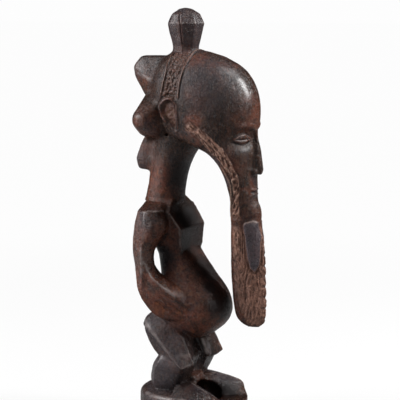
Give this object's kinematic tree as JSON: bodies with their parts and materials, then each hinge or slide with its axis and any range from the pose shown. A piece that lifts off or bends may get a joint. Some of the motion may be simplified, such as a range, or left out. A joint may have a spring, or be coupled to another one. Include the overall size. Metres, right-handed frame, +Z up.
{
  "type": "carved wooden ancestor figure",
  "caption": "Carved dark wood standing figure with bent knees, hands on the belly, a cross-shaped coiffure and a long beard that hangs clear of the body, on its own round plinth.",
  "frame": {"origin": "middle of the round plinth's flat underside, where the figure stands", "axes": "+Z up through the figure; the figure faces -Y; +X is the figure's left side"},
  "size_m": [0.1086, 0.1435, 0.4145],
  "materials": {
    "dark_patinated_wood": "dark handled patina, satin sheen, red-brown where worn, matt cut strokes on beard and jaw band"
  },
  "bodies": {
    "root": {"ancestor_figure": "dark_patinated_wood"}
  },
  "joints": []
}
